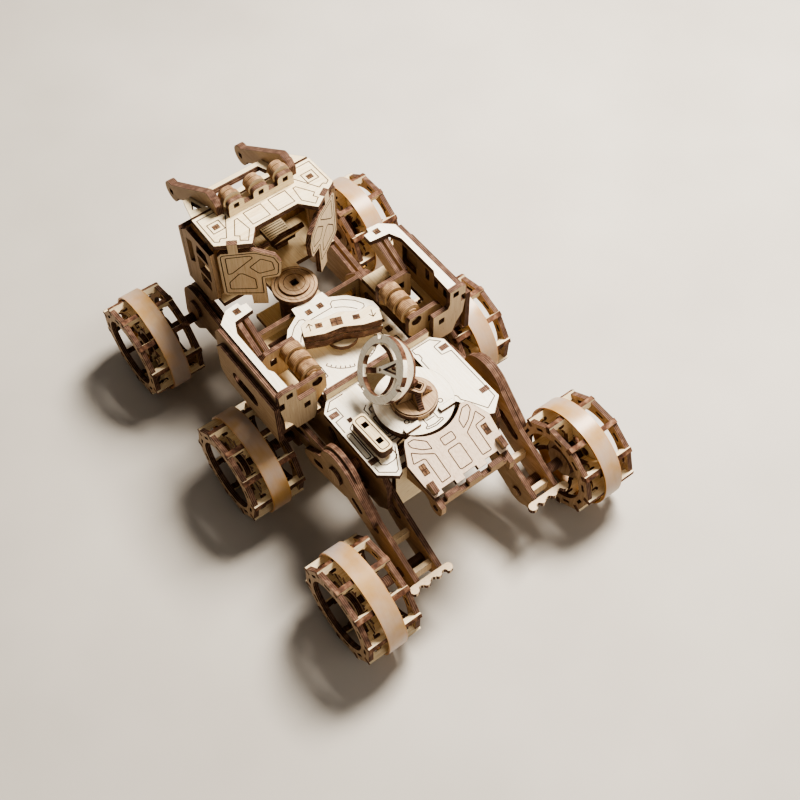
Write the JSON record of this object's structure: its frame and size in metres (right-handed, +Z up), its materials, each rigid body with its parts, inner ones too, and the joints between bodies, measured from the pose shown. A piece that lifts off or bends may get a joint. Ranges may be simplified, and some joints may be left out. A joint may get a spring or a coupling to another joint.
{
  "type": "six-wheeled rover model, laser-cut plywood kit toy",
  "caption": "Laser-cut plywood model of a crewed planetary rover: cage wheels with rubber bands on rocker arms, an open cab, side pods, a turning dish and a winding key.",
  "frame": {"origin": "on the floor, under the middle of the bounding box", "axes": "+X forward towards the cab, +Y left, +Z up"},
  "size_m": [0.2878, 0.1806, 0.1347],
  "materials": {
    "birch_plywood": "sanded birch plywood with laser-burnt edges",
    "tinted_plywood": "birch plywood, pinkish beige",
    "rubber_band": "translucent natural rubber"
  },
  "bodies": {
    "chassis": {"arm_links": "birch_plywood", "bogie_plates": "birch_plywood", "cab_floor": "birch_plywood", "cab_panels": "birch_plywood", "cab_roof": "birch_plywood", "cab_seats": "birch_plywood", "cab_visor": "birch_plywood", "cab_walls": "birch_plywood", "cross_walls": "birch_plywood", "deck_plates": "birch_plywood", "dial_plate": "birch_plywood", "dial_walls": "birch_plywood", "drive_gears": "birch_plywood", "floor_plate": "birch_plywood", "lever": "birch_plywood", "light_bar": "birch_plywood", "pivot_pins": "birch_plywood", "pod_brackets": "birch_plywood", "pod_ends": "birch_plywood", "pod_floors": "birch_plywood", "pod_rolls": "birch_plywood", "pod_struts": "birch_plywood", "pod_tops": "birch_plywood", "pod_walls": "birch_plywood", "rocker_plates": "birch_plywood", "roof_arms": "birch_plywood", "side_frames": "birch_plywood", "tail_ears": "birch_plywood", "tail_plate": "tinted_plywood", "turntable": "birch_plywood", "turret_disc": "birch_plywood"},
    "wheel_front_left": {"wheel_front_left_rims": "birch_plywood", "wheel_front_left_spider": "birch_plywood", "wheel_front_left_axle": "birch_plywood", "wheel_front_left_band": "rubber_band"},
    "wheel_front_right": {"wheel_front_right_rims": "birch_plywood", "wheel_front_right_spider": "birch_plywood", "wheel_front_right_axle": "birch_plywood", "wheel_front_right_band": "rubber_band"},
    "wheel_middle_left": {"wheel_middle_left_rims": "birch_plywood", "wheel_middle_left_spider": "birch_plywood", "wheel_middle_left_axle": "birch_plywood", "wheel_middle_left_band": "rubber_band"},
    "wheel_middle_right": {"wheel_middle_right_rims": "birch_plywood", "wheel_middle_right_spider": "birch_plywood", "wheel_middle_right_axle": "birch_plywood", "wheel_middle_right_band": "rubber_band"},
    "wheel_rear_left": {"wheel_rear_left_rims": "birch_plywood", "wheel_rear_left_spider": "birch_plywood", "wheel_rear_left_axle": "birch_plywood", "wheel_rear_left_band": "rubber_band"},
    "wheel_rear_right": {"wheel_rear_right_rims": "birch_plywood", "wheel_rear_right_spider": "birch_plywood", "wheel_rear_right_axle": "birch_plywood", "wheel_rear_right_band": "rubber_band"},
    "antenna": {"antenna_drum": "birch_plywood", "dish_frame": "birch_plywood"},
    "winding_key": {"winding_key": "birch_plywood"}
  },
  "joints": [
    {"name": "roll_front_left", "type": "hinge", "parent": "chassis", "child": "wheel_front_left", "pos_m": [0.09853, 0.0738, 0.03126], "axis": [0, 1, 0], "continuous": true},
    {"name": "roll_front_right", "type": "hinge", "parent": "chassis", "child": "wheel_front_right", "pos_m": [0.09853, -0.0738, 0.03126], "axis": [0, 1, 0], "continuous": true},
    {"name": "roll_middle_left", "type": "hinge", "parent": "chassis", "child": "wheel_middle_left", "pos_m": [-0.00707, 0.0738, 0.03126], "axis": [0, 1, 0], "continuous": true},
    {"name": "roll_middle_right", "type": "hinge", "parent": "chassis", "child": "wheel_middle_right", "pos_m": [-0.00707, -0.0738, 0.03126], "axis": [0, 1, 0], "continuous": true},
    {"name": "roll_rear_left", "type": "hinge", "parent": "chassis", "child": "wheel_rear_left", "pos_m": [-0.11267, 0.0738, 0.03126], "axis": [0, 1, 0], "continuous": true},
    {"name": "roll_rear_right", "type": "hinge", "parent": "chassis", "child": "wheel_rear_right", "pos_m": [-0.11267, -0.0738, 0.03126], "axis": [0, 1, 0], "continuous": true},
    {"name": "antenna_turn", "type": "hinge", "parent": "chassis", "child": "antenna", "pos_m": [-0.06007, 0, 0.0873], "axis": [0, 0, 1], "continuous": true},
    {"name": "key_turn", "type": "hinge", "parent": "chassis", "child": "winding_key", "pos_m": [0.00493, 0, 0.076], "axis": [0, 0, 1], "continuous": true}
  ]
}
